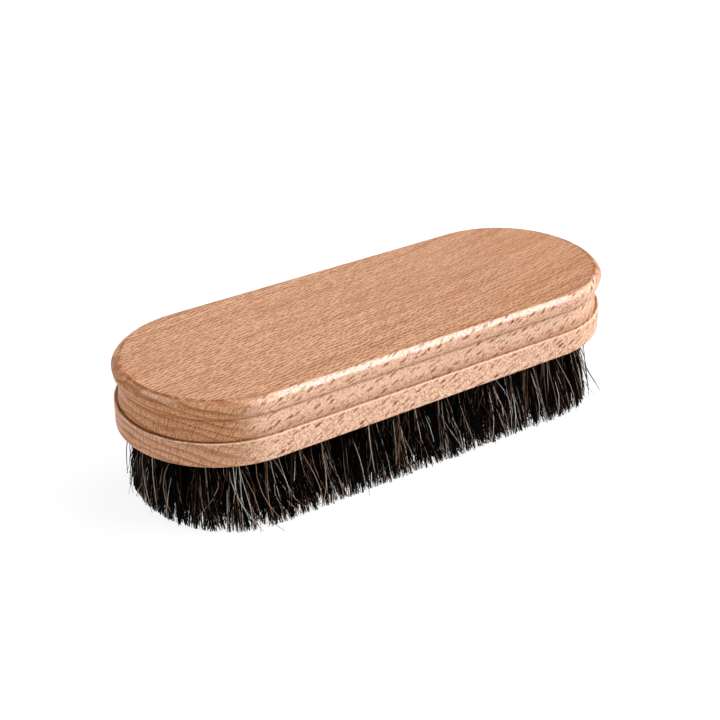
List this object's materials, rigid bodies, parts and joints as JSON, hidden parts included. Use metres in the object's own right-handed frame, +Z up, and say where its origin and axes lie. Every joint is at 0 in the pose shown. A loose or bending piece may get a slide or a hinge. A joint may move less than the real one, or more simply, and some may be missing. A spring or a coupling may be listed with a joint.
{
  "type": "leather cleaning brush",
  "caption": "Hand brush for cleaning leather: a stadium-shaped beech block with a moulded edge, set underneath with crosswise rows of dark horsehair tufts.",
  "frame": {"origin": "on the surface the brush stands on, at the level of its bristle tips, under the middle of the block", "axes": "+X along the brush's length, +Y across it, +Z up from the bristle tips to the flat top face"},
  "size_m": [0.135, 0.05, 0.0343],
  "materials": {
    "varnished_beech": "satin clear varnish over steamed beech, moulded and sanded",
    "horsehair": "dark brown to black horsehair, cut level, with single grey and brown hairs"
  },
  "bodies": {
    "root": {"handle_block": "varnished_beech", "tuft_row_01": "horsehair", "tuft_row_02": "horsehair", "tuft_row_03": "horsehair", "tuft_row_04": "horsehair", "tuft_row_05": "horsehair", "tuft_row_06": "horsehair", "tuft_row_07": "horsehair", "tuft_row_08": "horsehair", "tuft_row_09": "horsehair", "tuft_row_10": "horsehair", "tuft_row_11": "horsehair", "tuft_row_12": "horsehair", "tuft_row_13": "horsehair", "tuft_row_14": "horsehair", "tuft_row_15": "horsehair", "tuft_row_16": "horsehair", "tuft_row_17": "horsehair", "tuft_row_18": "horsehair", "tuft_row_19": "horsehair"}
  },
  "joints": []
}
